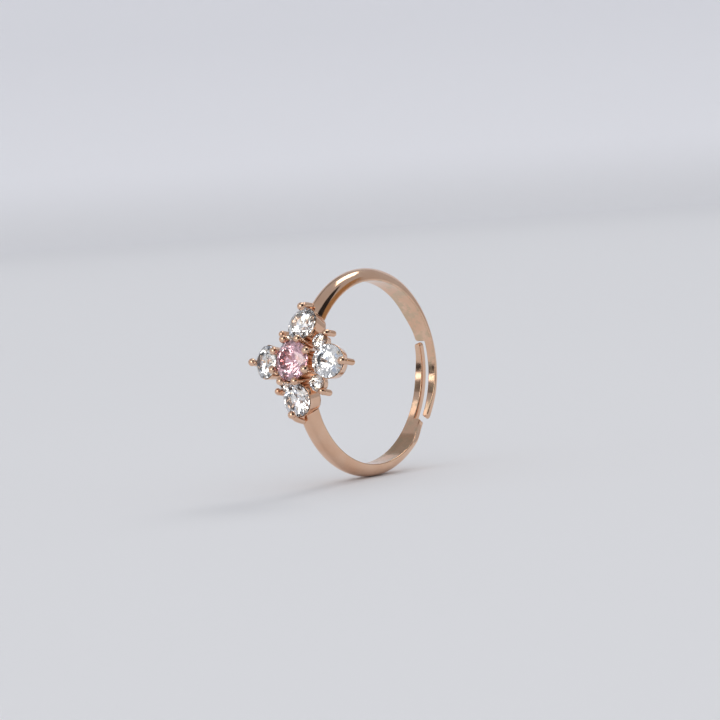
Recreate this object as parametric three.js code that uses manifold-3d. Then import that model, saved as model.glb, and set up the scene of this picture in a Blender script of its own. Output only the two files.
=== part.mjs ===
// Cocktail ring: a flower of nine brilliant-cut stones on an open band that adjusts at the back.
//
// Units are millimetres. The finger runs along X and the origin is the centre of the finger opening.
// The ring stands on the lowest point of its band with the flower facing -Y, tipped up by HEAD_PITCH.
// Everything is built first in the flower's own frame: x along the finger, y up across the flower,
// z out of the flower's face. One group then turns that frame into the standing one.

import * as THREE from "three";
import { ConvexGeometry } from "three/addons/geometries/ConvexGeometry.js";
import { mergeVertices } from "three/addons/utils/BufferGeometryUtils.js";
import Module from "manifold-3d";

// Band
const FINGER_DIAMETER = 17.4;
const FRONT_WIDTH = 1.92;
const BACK_WIDTH = 2.3;
const FRONT_THICKNESS = 1.2; // at the crown of the D section
const BACK_THICKNESS = 0.72;
const BAND_EDGE = 0.25; // thickness left at each side of the D section
const THINNING_START = 100; // degrees from the flower's axis, where the band begins to thin
const THINNING_END = 160;
const UPPER_ARM_SET = 0.8; // degrees that the upper arm is sprung out of round
const LOWER_ARM_SET = -1.8; // degrees that the lower arm is pressed inside round
const SHOULDER_ANGLE = 36; // degrees from the flower's axis to the line where an arm bends
const BEND_GAP = 0.03; // between a shoulder and its arm

// The two tongues that pass each other at the back
const TONGUE_REACH = 3.5; // from the middle of the back to each tongue's tip
const TONGUE_SLOT = 0.6; // between the tongues
const TIP_GAP = 0.25; // from a tongue's tip to the notch in the other arm
const TIP_ROUND = 0.36;
const TIP_DRAW = 0.25; // how far a tongue's outer edge draws in towards its tip
const NOTCH_ROUND = 0.3;
const UPPER_NOTCH_DRAW = 0.35; // how far an arm's edge draws in towards its notch
const LOWER_NOTCH_DRAW = 0.7;
const DRAW_LENGTH = 3.2; // over which an edge draws in

// Stones. The petals and accents lean outwards, so that the flower is domed.
const CENTRE_DIAMETER = 3.75;
const PETAL_DIAMETER = 3.1;
const ACCENT_DIAMETER = 1.5;
const CENTRE_TO_SIDE_PETAL = 0.3; // between their girdles, measured flat
const CENTRE_TO_SHOULDER_PETAL = 0.08; // the petals over the shoulders are set closer in
const SIDE_PETAL_LIFT = 1.43; // the middle of a girdle above the middle of the flower's back
const SHOULDER_PETAL_LIFT = 1.09;
const ACCENT_LIFT = 0.69;
const CENTRE_STEP = 0.7; // the centre girdle above the side petals' girdles
const PETAL_LEAN = 16; // degrees
const ACCENT_LEAN = 11; // degrees
const HEAD_PITCH = 12; // degrees that the flower looks up
const HEAD_STANDOFF = 0.02; // from the finger opening to the backs of the cups, which curve with it

// Proportions of the brilliant cut, as shares of the diameter
const TABLE = 0.56;
const CROWN_HEIGHT = 0.145;
const PAVILION_DEPTH = 0.43;
const GIRDLE = 0.03;
const STAR_REACH = 0.5; // how far the star facets run from the table's edge to the girdle
const LOWER_HALF_REACH = 0.76; // how far the lower half facets run from the girdle to the culet
const MAINS = 8;

// Cups, claws and prongs
const SEAT_GAP = 0.04; // between a stone and the metal that holds it
const SOLDER_GAP = 0.02; // between metal pieces that are soldered together
const PETAL_WALL = 0.06; // how far a cup's rim stands out past its stone
const ACCENT_WALL = 0.09;
const CENTRE_INSET = 0.07; // the centre cup's rim inside its stone's girdle
const RIM_WIDTH = 0.1; // least width of a rim
const CENTRE_TAPER = 8.5; // degrees that a cup's outside narrows towards its back
const PETAL_TAPER = 6;
const ACCENT_TAPER = 7;
const CUP_BORE = 0.4; // the open back of a cup, as a share of its stone's radius
const CLAW_PAIR_ANGLE = 24; // degrees from the line to a petal to each of its two claws
const CLAW = { ball: 0.37, shaft: 0.2, grip: 55, neck: 0 };
const SIDE_PRONG = { ball: 0.37, shaft: 0.3, grip: 83, neck: 40, flare: 0.18, foot: 0.6 };
const UPPER_PRONG = { ball: 0.37, shaft: 0.27, grip: 100, neck: 40, flare: 0.14, foot: 0.55 };
const LOWER_PRONG = { ball: 0.37, shaft: 0.27, grip: 113, neck: 60, flare: 0.14, foot: 0.55 };
const ACCENT_PRONG = { ball: 0.3, shaft: 0.3, grip: 45, neck: 20, flare: 0.1, foot: 0.7 };
// ball and shaft are radii. grip and neck are the angles in degrees above the girdle, seen from its
// edge, of the ball's centre and of the shaft's end. flare is how far the foot stands off the cup,
// and foot is its depth below the girdle.
const CROWN_FACE = 50; // degrees above the girdle that the crown's steepest facets face

// Fineness of the round surfaces
const BAND_STEPS = 96;
const DOME_STEPS = 8;
const CUP_STEPS = 32;
const WIRE_STEPS = 10;
const WIRE_END_STEPS = 2;
const BALL_STEPS = 6;
const SLICE_STEP = 30; // degrees
const MERGE_DISTANCE = 1e-4;

// Slices that only need to be wide enough, in degrees
const FRONT_KEPT = 105; // past the sides of the ring, where the tongue's outline takes over
const ARM_SWEEP = 230; // past the longest tongue, short of the other shoulder

// Sizes that follow from the ones above
const insideRadius = FINGER_DIAMETER / 2;
const outsideRadius = insideRadius + FRONT_THICKNESS;
const beyond = 4 * outsideRadius; // larger than the ring, for the pieces that only cut
const headBack = insideRadius + HEAD_STANDOFF;
const sideOffset = CENTRE_DIAMETER / 2 + CENTRE_TO_SIDE_PETAL + PETAL_DIAMETER / 2;
const shoulderOffset = CENTRE_DIAMETER / 2 + CENTRE_TO_SHOULDER_PETAL + PETAL_DIAMETER / 2;
const centreRim = CENTRE_DIAMETER / 2 - CENTRE_INSET;
const petalRim = PETAL_DIAMETER / 2 + PETAL_WALL;
const accentRim = ACCENT_DIAMETER / 2 + ACCENT_WALL;
const closeOffset = Math.min(sideOffset, shoulderOffset);
const accentReach = petalRim + accentRim + SEAT_GAP; // an accent nests against the nearest petals
const cornerRoom = Math.max(0, 2 * accentReach ** 2 - closeOffset ** 2);
const accentOffset = Math.max(
  (closeOffset + Math.sqrt(cornerRoom)) / Math.SQRT2,
  centreRim + accentRim + SOLDER_GAP,
);
const armsClosed = Math.max(0, -THREE.MathUtils.degToRad(UPPER_ARM_SET + LOWER_ARM_SET));
const bendReach = outsideRadius * (1 + Math.cos(THREE.MathUtils.degToRad(SHOULDER_ANGLE)));
const notchReach = TONGUE_REACH + TIP_GAP + armsClosed * bendReach; // before the arms are sprung

// Finishes
const roseGold = new THREE.MeshStandardMaterial({ color: 0xd9a483, roughness: 0.18, metalness: 1 });
const clearStone = new THREE.MeshStandardMaterial({ color: 0xf2f4f7, roughness: 0.03, metalness: 0 });
const pinkStone = new THREE.MeshStandardMaterial({ color: 0xf3a3c4, roughness: 0.03, metalness: 0 });

const rad = THREE.MathUtils.degToRad;
const deg = THREE.MathUtils.radToDeg;
const wasm = await Module();
wasm.setup();

// A closed geometry as a solid that can be cut and joined.
function solidOf(geometry) {
  const bare = new THREE.BufferGeometry();
  bare.setAttribute("position", geometry.getAttribute("position"));
  bare.setIndex(geometry.index);
  const merged = mergeVertices(bare, MERGE_DISTANCE);
  const triVerts = new Uint32Array(merged.index.array);
  const vertProperties = merged.attributes.position.array;
  return new wasm.Manifold(new wasm.Mesh({ numProp: 3, vertProperties, triVerts }));
}

// A solid as a geometry again.
function geometryOf(solid) {
  const mesh = solid.getMesh();
  const geometry = new THREE.BufferGeometry();
  geometry.setAttribute("position", new THREE.BufferAttribute(mesh.vertProperties, 3));
  geometry.setIndex(new THREE.BufferAttribute(mesh.triVerts, 1));
  geometry.computeVertexNormals();
  return geometry;
}

// The band's width and thickness at an angle in radians from the flower's axis.
function bandSection(angle) {
  const toBack = (1 - Math.cos(angle)) / 2;
  const round = deg(Math.acos(Math.cos(angle)));
  const thinned = THREE.MathUtils.smoothstep(round, THINNING_START, THINNING_END);
  return {
    width: THREE.MathUtils.lerp(FRONT_WIDTH, BACK_WIDTH, toBack),
    thickness: THREE.MathUtils.lerp(FRONT_THICKNESS, BACK_THICKNESS, thinned),
  };
}

// The whole band: a D section, flat inside with an elliptical dome outside, carried once round the
// finger as it widens and thins towards the back.
function wholeBand() {
  const positions = [];
  const triangles = [];
  const perSection = DOME_STEPS + 3;
  for (let i = 0; i < BAND_STEPS; i++) {
    const angle = (2 * Math.PI * i) / BAND_STEPS;
    const { width, thickness } = bandSection(angle);
    const section = [[insideRadius, width / 2], [insideRadius, -width / 2]];
    for (let j = 0; j <= DOME_STEPS; j++) {
      const turn = Math.PI * (j / DOME_STEPS - 0.5);
      const height = BAND_EDGE + (thickness - BAND_EDGE) * Math.cos(turn);
      section.push([insideRadius + height, (width / 2) * Math.sin(turn)]);
    }
    section.forEach(([radius, x], j) => {
      positions.push(x, radius * Math.sin(angle), radius * Math.cos(angle));
      const [here, next] = [i, (i + 1) % BAND_STEPS].map((k) => k * perSection);
      const after = (j + 1) % perSection;
      triangles.push(here + j, next + after, next + j, here + j, here + after, next + after);
    });
  }
  const band = new THREE.BufferGeometry();
  band.setAttribute("position", new THREE.Float32BufferAttribute(positions, 3));
  return solidOf(band.setIndex(triangles));
}

// A slice of pie about the finger's axis, between two angles from the flower's axis.
function slice(from, to) {
  const outline = new THREE.Shape();
  outline.moveTo(0, 0);
  const parts = Math.ceil((to - from) / SLICE_STEP);
  for (let i = 0; i <= parts; i++) {
    const angle = rad(from + ((to - from) * i) / parts);
    outline.lineTo(beyond * Math.cos(angle), beyond * Math.sin(angle));
  }
  const wedge = new THREE.ExtrudeGeometry(outline, { depth: 2 * beyond, bevelEnabled: false });
  return solidOf(wedge.translate(0, 0, -beyond).rotateY(-Math.PI / 2));
}

// What an arm keeps at the back of the ring, seen along the flower's axis: the full width down to
// the notch, and one tongue with a round tip that runs on past the middle.
function tongueOutline(notchDraw) {
  const side = BACK_WIDTH / 2;
  const slot = TONGUE_SLOT / 2;
  const tip = Math.min(TIP_ROUND, (side - slot - TIP_DRAW) / 2);
  const tipSide = side - TIP_DRAW;
  const tipRoundsAt = -TONGUE_REACH + tip;
  const corner = Math.min(NOTCH_ROUND, (side - notchDraw) / 2);
  const notchSide = -side + notchDraw;
  const cornerAt = notchReach + corner;
  const halfDraw = DRAW_LENGTH / 2;
  const outline = new THREE.Shape();
  outline.moveTo(beyond, beyond);
  outline.lineTo(-beyond, beyond);
  outline.lineTo(-beyond, cornerAt + DRAW_LENGTH);
  outline.lineTo(-side, cornerAt + DRAW_LENGTH);
  outline.bezierCurveTo(-side, cornerAt + halfDraw, notchSide, cornerAt + halfDraw, notchSide, cornerAt);
  outline.absarc(notchSide + corner, cornerAt, corner, Math.PI, 1.5 * Math.PI);
  outline.lineTo(slot, notchReach);
  outline.lineTo(slot, tipRoundsAt);
  outline.absarc(slot + tip, tipRoundsAt, tip, Math.PI, 1.5 * Math.PI);
  outline.absarc(tipSide - tip, tipRoundsAt, tip, -0.5 * Math.PI, 0);
  outline.quadraticCurveTo(side, tipRoundsAt + halfDraw, side, tipRoundsAt + DRAW_LENGTH);
  outline.lineTo(beyond, tipRoundsAt + DRAW_LENGTH);
  return outline;
}

// One arm of the band, from its shoulder to its tongue's tip, sprung by an angle about the outer edge
// of its shoulder. The other arm is this one turned half round about the flower's axis.
function arm(set, notchDraw) {
  const kept = tongueOutline(notchDraw);
  const back = new THREE.ExtrudeGeometry(kept, { depth: beyond, bevelEnabled: false });
  const front = slice(0, FRONT_KEPT);
  const round = wholeBand().intersect(solidOf(back.translate(0, 0, -beyond)).add(front));
  const hingeY = outsideRadius * Math.sin(rad(SHOULDER_ANGLE));
  const hingeZ = outsideRadius * Math.cos(rad(SHOULDER_ANGLE));
  const sprung = geometryOf(round).translate(0, -hingeY, -hingeZ).rotateX(rad(set));
  const start = SHOULDER_ANGLE + deg(BEND_GAP / outsideRadius);
  const whole = solidOf(sprung.translate(0, hingeY, hingeZ));
  return geometryOf(whole.intersect(slice(start, start + ARM_SWEEP)));
}

// The fixed end of the band, from the outer wall of a petal's cup to the line where its arm bends.
function shoulder() {
  const height = headBack + SHOULDER_PETAL_LIFT;
  const cupAngle = deg(Math.atan2(shoulderOffset, height));
  const reach = cupReach(petalRim, height);
  const plug = solidOf(cupOutside(PETAL_DIAMETER, petalRim + SOLDER_GAP, PETAL_TAPER, reach));
  const placed = geometryOf(plug).rotateX(-rad(PETAL_LEAN)).translate(0, shoulderOffset, height);
  const root = wholeBand().intersect(slice(cupAngle, SHOULDER_ANGLE));
  return geometryOf(root.subtract(solidOf(placed)));
}

// A round brilliant with its girdle about z = 0: a flat table, eight star and eight kite facets on
// the crown, eight kites on the pavilion, and sixteen half facets on each side of the girdle.
function brilliant(diameter) {
  const radius = diameter / 2;
  const edge = (GIRDLE * diameter) / 2;
  const crown = CROWN_HEIGHT * diameter;
  const pavilion = PAVILION_DEPTH * diameter;
  const halfTurn = Math.PI / MAINS;
  const star = radius * (TABLE + (1 - TABLE) * STAR_REACH);
  const lowerHalf = radius * (1 - LOWER_HALF_REACH);
  const starHeight = (crown * (1 - (star / radius) * Math.cos(halfTurn))) / (1 - TABLE);
  const lowerHalfDepth = pavilion * (1 - (lowerHalf / radius) * Math.cos(halfTurn));
  const points = [new THREE.Vector3(0, 0, -edge - pavilion)];
  const at = (distance, angle, height) =>
    new THREE.Vector3(distance * Math.cos(angle), distance * Math.sin(angle), height);
  for (let i = 0; i < MAINS; i++) {
    const main = 2 * i * halfTurn;
    const between = main + halfTurn;
    points.push(at(radius * TABLE, main, edge + crown));
    points.push(at(star, between, edge + starHeight));
    points.push(at(lowerHalf, between, -edge - lowerHalfDepth));
    for (const angle of [main, between]) {
      points.push(at(radius, angle, edge), at(radius, angle, -edge));
    }
  }
  return new ConvexGeometry(points);
}

// How far a cup's wall has to run down from the girdle to be cut off at the finger opening.
function cupReach(rim, height) {
  return rim + height;
}

// The height of a cup's inside below its girdle, at a distance from its axis.
function seatDepth(diameter, distance) {
  const pavilion = PAVILION_DEPTH * diameter * (1 - (2 * (distance - SEAT_GAP)) / diameter);
  return (GIRDLE * diameter) / 2 + pavilion;
}

// How wide a cup's mouth is and how deep it lies below the girdle.
function cupMouth(diameter, rim) {
  const mouth = Math.min(diameter / 2 + SEAT_GAP, rim - RIM_WIDTH);
  return { mouth, mouthDepth: seatDepth(diameter, mouth) };
}

// A cup's outer cone, filled, from its rim down to a depth below the girdle.
function cupOutside(diameter, rim, taper, depth) {
  const { mouthDepth } = cupMouth(diameter, rim);
  const foot = rim - (depth - mouthDepth) * Math.tan(rad(taper));
  const cone = new THREE.CylinderGeometry(rim, foot, depth - mouthDepth, CUP_STEPS);
  return cone.rotateX(Math.PI / 2).translate(0, 0, -(depth + mouthDepth) / 2);
}

// A tapered cup for a stone whose girdle is about z = 0. Its inside follows the pavilion at SEAT_GAP,
// its back is open, and it runs down far enough to be cut off at the finger opening.
function cup(diameter, rim, taper, depth) {
  const { mouth, mouthDepth } = cupMouth(diameter, rim);
  const bore = (CUP_BORE * diameter) / 2;
  const profile = [
    [bore, -depth],
    [rim - (depth - mouthDepth) * Math.tan(rad(taper)), -depth],
    [rim, -mouthDepth],
    [mouth, -mouthDepth],
    [bore, -seatDepth(diameter, bore)],
    [bore, -depth],
  ];
  const points = profile.map(([distance, height]) => new THREE.Vector2(distance, height));
  return new THREE.LatheGeometry(points, CUP_STEPS).rotateX(Math.PI / 2);
}

// A straight round rod with round ends, between two points of the plane y = 0.
function rod(from, to, radius) {
  const along = to.clone().sub(from);
  const straight = new THREE.CapsuleGeometry(radius, along.length(), WIRE_END_STEPS, WIRE_STEPS);
  const turn = new THREE.Quaternion();
  turn.setFromUnitVectors(new THREE.Vector3(0, 1, 0), along.normalize());
  const middle = from.clone().add(to).divideScalar(2);
  return solidOf(straight.applyQuaternion(turn).translate(middle.x, 0, middle.z));
}

// A round wire from its foot to its neck beside the girdle and on to the ball that holds the stone,
// all in the plane y = 0 of a stone whose girdle is about z = 0. The ball clears the crown by SEAT_GAP.
function wire(form, diameter, footX) {
  const fromEdge = (distance, angle) =>
    new THREE.Vector3(
      diameter / 2 + distance * Math.cos(rad(angle)),
      0,
      (GIRDLE * diameter) / 2 + distance * Math.sin(rad(angle)),
    );
  const overCrown = Math.cos(rad(Math.max(0, form.grip - CROWN_FACE)));
  const top = fromEdge((form.ball + SEAT_GAP) / overCrown, form.grip);
  const neck = fromEdge(form.shaft + SEAT_GAP, form.neck);
  const foot = new THREE.Vector3(footX, 0, -form.foot);
  const shank = rod(foot, neck, form.shaft).add(rod(neck, top, form.shaft));
  const bead = new THREE.SphereGeometry(form.ball, WIRE_STEPS, BALL_STEPS).rotateX(Math.PI / 2);
  return geometryOf(shank.add(solidOf(bead.translate(top.x, 0, top.z))));
}

function piece(name, geometry, material, parent) {
  const mesh = new THREE.Mesh(geometry, material.clone());
  mesh.name = name;
  parent.add(mesh);
  return mesh;
}

// A holder turned about the flower's axis, in which x points away from the centre.
function spoke(flower, turn) {
  const group = new THREE.Group();
  group.rotation.z = rad(turn);
  flower.add(group);
  return group;
}

// A stone in its cup, centred at a distance out along the spoke and leaning outwards, with the cup
// cut off along the finger opening.
function setStone(name, turn, flower, seat, finish) {
  const { diameter, rim, taper, offset, height, lean } = seat;
  const tilted = new THREE.Group();
  tilted.position.set(offset, 0, height);
  tilted.rotation.y = rad(lean);
  spoke(flower, turn).add(tilted);
  piece(`${name}_stone`, brilliant(diameter), finish, tilted);
  const whole = cup(diameter, rim, taper, cupReach(rim, height)).rotateY(rad(lean));
  const placed = solidOf(whole.translate(offset, 0, height).rotateZ(rad(turn)));
  const finger = new THREE.CylinderGeometry(headBack, headBack, 2 * beyond, BAND_STEPS);
  const below = new THREE.BoxGeometry(2 * beyond, 2 * beyond, beyond).translate(0, 0, -beyond / 2);
  const kept = placed.subtract(solidOf(finger.rotateZ(Math.PI / 2))).subtract(solidOf(below));
  piece(`${name}_cup`, geometryOf(kept), roseGold, flower);
  return tilted;
}

// The wire outside a cup that holds its stone's outer edge.
function setProng(name, tilted, seat, form) {
  const metal = wire(form, seat.diameter, seat.rim + form.shaft + SOLDER_GAP + form.flare);
  piece(`${name}_prong`, metal, roseGold, tilted);
}

function centre(flower) {
  const height = headBack + SIDE_PETAL_LIFT + CENTRE_STEP;
  const seat = {
    diameter: CENTRE_DIAMETER, rim: centreRim, taper: CENTRE_TAPER, offset: 0, height, lean: 0,
  };
  setStone("centre", 0, flower, seat, pinkStone);
  const backRim = centreRim - (height - headBack) * Math.tan(rad(CENTRE_TAPER));
  const foot = backRim + CLAW.shaft + SEAT_GAP;
  const form = { ...CLAW, foot: height - headBack - CLAW.shaft };
  for (const [side, turn] of Object.entries(PETAL_TURNS)) {
    for (const [hand, way] of [["first", -1], ["second", 1]]) {
      const place = spoke(flower, turn + way * CLAW_PAIR_ANGLE);
      const claw = piece(`${side}_claw_${hand}`, wire(form, CENTRE_DIAMETER, foot), roseGold, place);
      claw.position.z = height;
    }
  }
}

function petal(flower, side, turn) {
  const overShoulder = side === "upper" || side === "lower";
  const lift = overShoulder ? SHOULDER_PETAL_LIFT : SIDE_PETAL_LIFT;
  const seat = {
    diameter: PETAL_DIAMETER,
    rim: petalRim,
    taper: PETAL_TAPER,
    offset: overShoulder ? shoulderOffset : sideOffset,
    height: headBack + lift,
    lean: PETAL_LEAN,
  };
  const tilted = setStone(`${side}_petal`, turn, flower, seat, clearStone);
  const form = { upper: UPPER_PRONG, lower: LOWER_PRONG }[side] ?? SIDE_PRONG;
  setProng(`${side}_petal`, tilted, seat, form);
}

function accent(flower, side, turn) {
  const seat = {
    diameter: ACCENT_DIAMETER,
    rim: accentRim,
    taper: ACCENT_TAPER,
    offset: accentOffset,
    height: headBack + ACCENT_LIFT,
    lean: ACCENT_LEAN,
  };
  const tilted = setStone(`${side}_accent`, turn, flower, seat, clearStone);
  setProng(`${side}_accent`, tilted, seat, ACCENT_PRONG);
}

const PETAL_TURNS = { right: 0, upper: 90, left: 180, lower: 270 };
const ACCENT_TURNS = { upper_right: 45, upper_left: 135, lower_left: 225, lower_right: 315 };

const flower = new THREE.Group();
flower.rotation.x = Math.PI / 2 - rad(HEAD_PITCH);
centre(flower);
for (const [side, turn] of Object.entries(PETAL_TURNS)) petal(flower, side, turn);
for (const [side, turn] of Object.entries(ACCENT_TURNS)) accent(flower, side, turn);
piece("upper_shoulder", shoulder(), roseGold, flower);
piece("lower_shoulder", shoulder(), roseGold, spoke(flower, 180));
piece("upper_arm_band", arm(UPPER_ARM_SET, UPPER_NOTCH_DRAW), roseGold, flower);
piece("lower_arm_band", arm(LOWER_ARM_SET, LOWER_NOTCH_DRAW), roseGold, spoke(flower, 180));

const ring = new THREE.Group();
ring.add(flower);
export default ring;
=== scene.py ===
import math

import bpy
import numpy as np
from mathutils import Matrix, Vector


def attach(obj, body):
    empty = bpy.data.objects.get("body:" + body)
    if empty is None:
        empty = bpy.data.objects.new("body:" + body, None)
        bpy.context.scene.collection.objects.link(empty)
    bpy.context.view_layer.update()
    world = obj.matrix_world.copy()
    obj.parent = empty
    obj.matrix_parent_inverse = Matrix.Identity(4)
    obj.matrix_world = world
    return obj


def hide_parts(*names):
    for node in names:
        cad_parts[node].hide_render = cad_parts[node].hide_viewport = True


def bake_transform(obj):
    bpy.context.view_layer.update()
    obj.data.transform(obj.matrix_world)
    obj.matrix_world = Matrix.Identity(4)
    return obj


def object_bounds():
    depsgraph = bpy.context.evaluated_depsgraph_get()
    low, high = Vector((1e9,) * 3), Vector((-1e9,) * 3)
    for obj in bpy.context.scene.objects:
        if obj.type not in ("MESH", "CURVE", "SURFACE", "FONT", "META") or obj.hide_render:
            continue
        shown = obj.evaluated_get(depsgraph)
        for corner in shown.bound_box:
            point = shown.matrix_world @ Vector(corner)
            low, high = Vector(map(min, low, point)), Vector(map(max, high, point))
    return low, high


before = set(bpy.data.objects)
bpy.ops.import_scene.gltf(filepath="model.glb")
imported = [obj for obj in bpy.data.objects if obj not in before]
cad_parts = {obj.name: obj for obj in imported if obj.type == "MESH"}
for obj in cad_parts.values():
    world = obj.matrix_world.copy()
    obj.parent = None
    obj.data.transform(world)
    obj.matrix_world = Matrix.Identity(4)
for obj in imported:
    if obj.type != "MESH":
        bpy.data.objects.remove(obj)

bl_info = {
    "name": "Cocktail Ring",
    "version": (1, 0, 0),
    "blender": (4, 5, 0),
    "location": "View3D > Sidebar > Ring",
    "description": "A flower-head ring on an open adjustable band, with its stage and light",
    "category": "Add Mesh",
}

CAD_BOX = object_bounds()
HEAD = "flower_head"
PETAL_TURNS = {"right": 0, "upper": 90, "left": 180, "lower": 270}
ACCENT_TURNS = {"upper_right": 45, "upper_left": 135, "lower_left": 225, "lower_right": 315}
FRAME_PARTS = 720


def number(name, description, default, **limits):
    """A property that holds one number."""
    return bpy.props.FloatProperty(name=name, description=description, default=default, **limits)


def length(name, description, millimetres):
    """A length property whose default is given in millimetres."""
    kind = {"subtype": "DISTANCE", "unit": "LENGTH"}
    return number(name, description, millimetres / 1000, min=0, precision=6, **kind)


def angle(name, description, degrees):
    """An angle property whose default is given in degrees."""
    return number(name, description, math.radians(degrees), subtype="ANGLE", unit="ROTATION")


def share(name, description, default):
    """A plain number property from 0 to 1."""
    return number(name, description, default, min=0, max=1, subtype="FACTOR")


def colour(name, description, default):
    """A colour property, in linear values."""
    kind = {"size": 3, "min": 0, "max": 1, "subtype": "COLOR"}
    return bpy.props.FloatVectorProperty(
        name=name, description=description, default=default, **kind
    )


class RingBandSizes(bpy.types.PropertyGroup):
    """Sizes of the two arms of the band."""

    finger: length("Finger opening", "Diameter of the finger opening", 17.4)
    front_width: length("Front width", "Width of the band beside the flower", 1.92)
    back_width: length("Back width", "Width of the band at the back", 2.3)
    front_thickness: length("Front thickness", "Thickness at the crown of the D section", 1.2)
    back_thickness: length("Back thickness", "Thickness of the tongues", 0.72)
    edge: length("Edge", "Thickness left at each side of the D section", 0.25)
    rounding: length("Edge rounding", "Radius that softens every edge", 0.09)
    thinning_start: angle("Thinning starts", "From the flower's axis", 100)
    thinning_end: angle("Thinning ends", "From the flower's axis", 160)
    upper_set: angle("Upper arm set", "How far the upper arm is sprung out of round", 0.8)
    lower_set: angle("Lower arm set", "How far the lower arm is pressed inside round", -1.8)
    shoulder: angle("Shoulder", "Where an arm bends", 36)
    reach: length("Tongue reach", "From the middle of the back to a tongue's tip", 3.5)
    slot: length("Tongue slot", "Between the two tongues", 0.6)
    tip_gap: length("Tip gap", "From a tip to the other arm's notch", 0.25)
    tip_round: length("Tip rounding", "Radius of a tip's corners", 0.36)
    tip_draw: length("Tip draw", "How far a tongue narrows towards its tip", 0.25)
    notch_round: length("Notch rounding", "Radius of a notch's outer corner", 0.3)
    upper_draw: length("Upper notch draw", "How far the edge draws in towards the notch", 0.35)
    lower_draw: length("Lower notch draw", "How far the edge draws in towards the notch", 0.7)
    draw_length: length("Draw length", "Length over which an edge draws in", 3.2)


class RingHeadSizes(bpy.types.PropertyGroup):
    """Sizes of the stones and their settings."""

    pitch: angle("Pitch", "How far the flower looks up", 12)
    back: length("Back", "Backs of the cups, from the finger's axis", 8.72)
    centre: length("Centre stone", "Diameter", 3.75)
    petal: length("Petal stone", "Diameter", 3.1)
    accent: length("Accent stone", "Diameter", 1.5)
    side_offset: length("Side petal offset", "From the flower's axis", 3.725)
    shoulder_offset: length("Shoulder petal offset", "From the flower's axis", 3.505)
    accent_offset: length("Accent offset", "From the flower's axis", 2.718)
    side_lift: length("Side petal lift", "Girdle above the back", 1.43)
    shoulder_lift: length("Shoulder petal lift", "Girdle above the back", 1.09)
    accent_lift: length("Accent lift", "Girdle above the back", 0.69)
    centre_lift: length("Centre lift", "Girdle above the back", 2.13)
    petal_lean: angle("Petal lean", "Outward lean", 16)
    accent_lean: angle("Accent lean", "Outward lean", 11)
    seat_gap: length("Seat gap", "Between a stone and its metal", 0.04)
    solder_gap: length("Solder gap", "Between soldered pieces", 0.02)
    petal_wall: length("Petal wall", "How far a petal's cup stands out past its stone", 0.06)
    accent_wall: length("Accent wall", "How far an accent's cup stands out past its stone", 0.09)
    centre_taper: angle("Centre taper", "How a cup narrows towards its back", 8.5)
    petal_taper: angle("Petal taper", "How a cup narrows towards its back", 6)
    accent_taper: angle("Accent taper", "How a cup narrows towards its back", 7)
    inset: length("Centre inset", "The centre cup's rim inside its stone's girdle", 0.07)
    rim: length("Rim width", "Least width of a rim", 0.1)


class RingFinish(bpy.types.PropertyGroup):
    """Colours and polish."""

    gold: colour("Rose gold", "Plate colour where it is thick", (0.80, 0.51, 0.35))
    gold_pale: colour("Pale gold", "Plate colour where it is worn thin", (0.86, 0.60, 0.44))
    polish: share("Polish", "Roughness of the outer faces", 0.07)
    satin: share("Satin", "Roughness of the inner face", 0.08)
    # Painted reflection: the greyer gold painted into the inside face's blotches.
    gold_painted_reflection: colour("Painted reflection gold", "Inner face blotches, a painted reflection", (0.66, 0.50, 0.35))
    clear: colour("Clear stone", "Body colour", (1.0, 1.0, 1.0))
    pink: colour("Pink stone", "Body colour", (1.0, 0.62, 0.71))
    stone_index: number("Stone index", "Refractive index", 2.1, min=1, max=3)


class RingStage(bpy.types.PropertyGroup):
    """The floor, light and camera."""

    azimuth: angle("Azimuth", "Camera's turn about the ring", 40.03)
    elevation: angle("Elevation", "Camera above the floor's level", 3.39)
    roll: angle("Roll", "Camera's roll", -4)
    distance: length("Distance", "Camera to the ring's centre", 217.7)
    across: length("Across", "Aim point beside the ring's centre", 0.7288)
    aim_drop: length("Drop", "Aim point below the ring's centre", 1.34)
    scale: number("Scale", "Frame parts for each millimetre", 10.617, min=1)
    floor: colour("Floor", "Pale floor", (0.80, 0.80, 0.815))
    backdrop: colour("Backdrop", "Wall behind the floor", (0.92, 0.92, 0.95))


SETTINGS = {
    "ring_band": RingBandSizes,
    "ring_head": RingHeadSizes,
    "ring_finish": RingFinish,
    "ring_stage": RingStage,
}


def settings(name):
    """The scene's group of settings of that name."""
    return getattr(bpy.context.scene, name)


# ---- shader sums

# The places of a Mix node's colour sockets.
MIX_FACTOR, MIX_FIRST, MIX_SECOND = 0, 6, 7
MIX_RESULT = 2


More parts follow.
